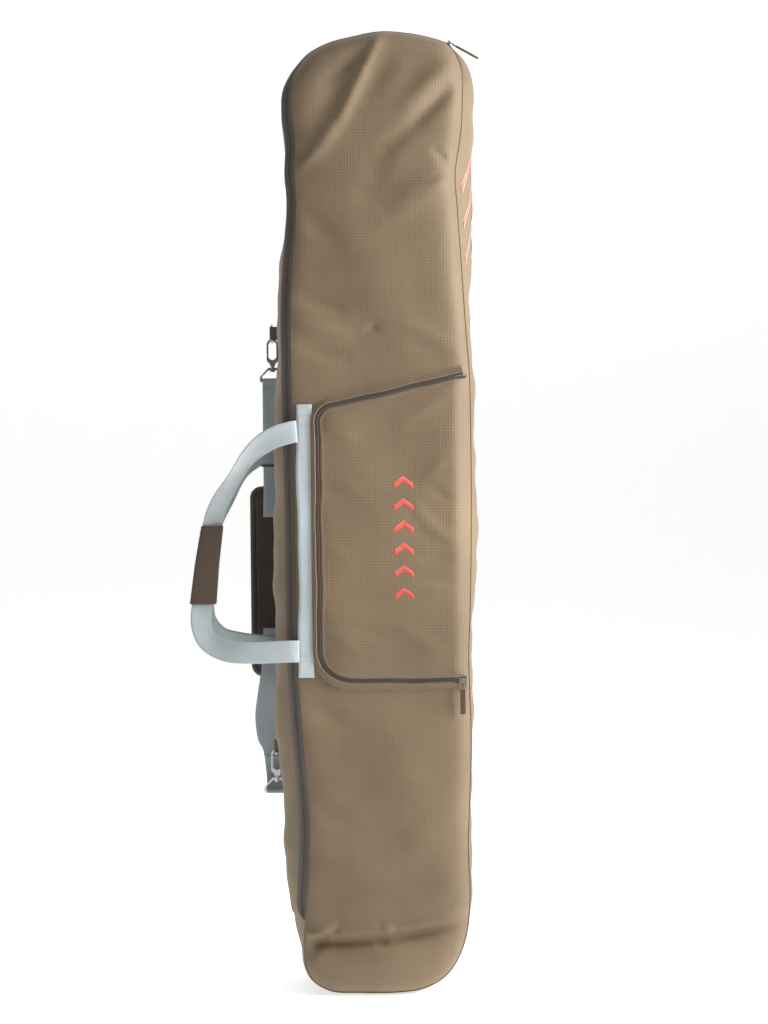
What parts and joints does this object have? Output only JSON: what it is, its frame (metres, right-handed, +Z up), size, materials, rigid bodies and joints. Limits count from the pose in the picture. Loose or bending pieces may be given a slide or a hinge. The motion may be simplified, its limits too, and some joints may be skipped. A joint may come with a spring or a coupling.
{
  "type": "snowboard bag",
  "caption": "Upright padded snowboard bag with a zipped front, zipped pocket, wrapped carry handles and a padded shoulder strap on snap hooks.",
  "frame": {"origin": "middle of the flat base that the bag stands on", "axes": "+Z up along the bag, -Y out of the front panel, +X to the right of someone facing the front"},
  "size_m": [0.5061, 0.2066, 1.68],
  "materials": {
    "canvas": "ripstop canvas, matt",
    "lining": "plain weave",
    "foam": "closed cell foam",
    "zip_tape": "coated woven tape",
    "zip_coil": "moulded coil",
    "webbing": "flat woven webbing",
    "strap_webbing": "ribbed woven webbing",
    "wrap": "canvas",
    "pad_cloth": "mesh cloth",
    "embroidery": "satin stitch",
    "metal": "satin nickel",
    "hook_metal": "grey coated die casting",
    "hook_plastic": "moulded"
  },
  "bodies": {
    "root": {"back_foam": "foam", "back_lining": "lining", "back_shell": "canvas", "gusset_foam": "foam", "gusset_lining": "lining", "gusset_shell": "canvas", "lower_hook": "hook_metal", "lower_ring_tab": "webbing", "rear_handle_strip": "webbing", "rear_seam_tape": "lining", "side_ring": "metal", "side_ring_tab": "wrap", "toe_foam": "foam", "toe_lining": "lining", "toe_shell": "canvas", "upper_hook": "hook_metal", "upper_ring_tab": "webbing", "zip_bottom_stop": "metal", "zip_coil_rear": "zip_coil", "zip_tape_rear": "zip_tape"},
    "front_lid": {"front_shell": "canvas", "front_foam": "foam", "front_lining": "lining", "zip_tape_front": "zip_tape", "zip_coil_front": "zip_coil", "pocket_wall": "canvas", "pocket_tape_outer": "zip_tape", "pocket_coil_outer": "zip_coil", "pocket_side": "canvas", "front_handle_strip": "webbing"},
    "pocket_flap": {"pocket_flap": "canvas", "pocket_tape_inner": "zip_tape", "pocket_coil_inner": "zip_coil", "pocket_mark": "embroidery"},
    "main_slider": {"main_slider": "metal"},
    "main_pull": {"main_pull_loop": "metal", "main_pull_tab": "wrap"},
    "pocket_slider": {"pocket_slider": "metal"},
    "pocket_pull": {"pocket_pull_loop": "metal", "pocket_pull_tab": "wrap"},
    "front_handle": {"front_handle": "webbing"},
    "rear_handle": {"rear_handle": "webbing", "hand_wrap": "wrap"},
    "strap": {"upper_hook_frame": "hook_metal", "lower_hook_frame": "hook_metal", "strap_webbing_upper": "strap_webbing", "strap_webbing_lower": "strap_webbing", "pad_face": "pad_cloth", "pad_foam": "foam", "pad_backing": "pad_cloth"},
    "adjuster": {"strap_adjuster": "hook_plastic"},
    "upper_gate": {"upper_gate": "hook_metal"},
    "lower_gate": {"lower_gate": "hook_metal"},
    "upper_ring": {"upper_ring": "hook_metal"},
    "lower_ring": {"lower_ring": "hook_metal"}
  },
  "joints": [
    {"name": "front_lid_hinge", "type": "hinge", "parent": "root", "child": "front_lid", "pos_m": [0.165, -0.05685, 0.8], "axis": [0, 0, 1], "range_deg": [0, 110]},
    {"name": "pocket_flap_hinge", "type": "hinge", "parent": "front_lid", "child": "pocket_flap", "pos_m": [0.13015, -0.08715, 0.8], "axis": [0, 0, 1], "range_deg": [0, 75]},
    {"name": "main_zip_travel", "type": "hinge", "parent": "root", "child": "main_slider", "pos_m": [0.012, -0.05, 1.368], "axis": [0, -1, 0], "range_deg": [0, 45]},
    {"name": "main_pull_swing", "type": "hinge", "parent": "main_slider", "child": "main_pull", "pos_m": [0.13308, -0.05, 1.66032], "axis": [0, 1, 0], "range_deg": [-165, 0]},
    {"name": "pocket_zip_travel", "type": "slide", "parent": "front_lid", "child": "pocket_slider", "axis": [-1, 0, 0], "range_m": [0, 0.17]},
    {"name": "pocket_pull_swing", "type": "hinge", "parent": "pocket_slider", "child": "pocket_pull", "pos_m": [0.143, -0.0914, 0.547], "axis": [-1, 0, 0], "range_deg": [0, 120]},
    {"name": "front_handle_swing", "type": "hinge", "parent": "front_lid", "child": "front_handle", "pos_m": [-0.141, -0.0827, 0.79], "axis": [0, 0, 1], "range_deg": [0, 100], "deforming": ["hand_wrap"]},
    {"name": "rear_handle_swing", "type": "hinge", "parent": "root", "child": "rear_handle", "pos_m": [-0.141, 0.0827, 0.79], "axis": [0, 0, -1], "range_deg": [0, 8]},
    {"name": "strap_swivel", "type": "hinge", "parent": "root", "child": "strap", "pos_m": [-0.19, 0.092, 0.8], "axis": [0, 0, 1], "range_deg": [0, 45]},
    {"name": "adjuster_slide", "type": "slide", "parent": "strap", "child": "adjuster", "axis": [0, 0, 1], "range_m": [-0.03, 0.12]},
    {"name": "upper_gate_press", "type": "hinge", "parent": "root", "child": "upper_gate", "pos_m": [-0.199, 0.092, 1.1266], "axis": [0, 1, 0], "range_deg": [0, 25], "stiffness_Nm_per_rad": 0.02},
    {"name": "lower_gate_press", "type": "hinge", "parent": "root", "child": "lower_gate", "pos_m": [-0.199, 0.092, 0.3786], "axis": [0, 1, 0], "range_deg": [0, 25], "stiffness_Nm_per_rad": 0.02},
    {"name": "upper_ring_swing", "type": "hinge", "parent": "root", "child": "upper_ring", "pos_m": [-0.19, 0.071, 1.166], "axis": [0, 0, 1], "range_deg": [-4, 4]},
    {"name": "lower_ring_swing", "type": "hinge", "parent": "root", "child": "lower_ring", "pos_m": [-0.19, 0.071, 0.418], "axis": [0, 0, 1], "range_deg": [-4, 4]}
  ]
}
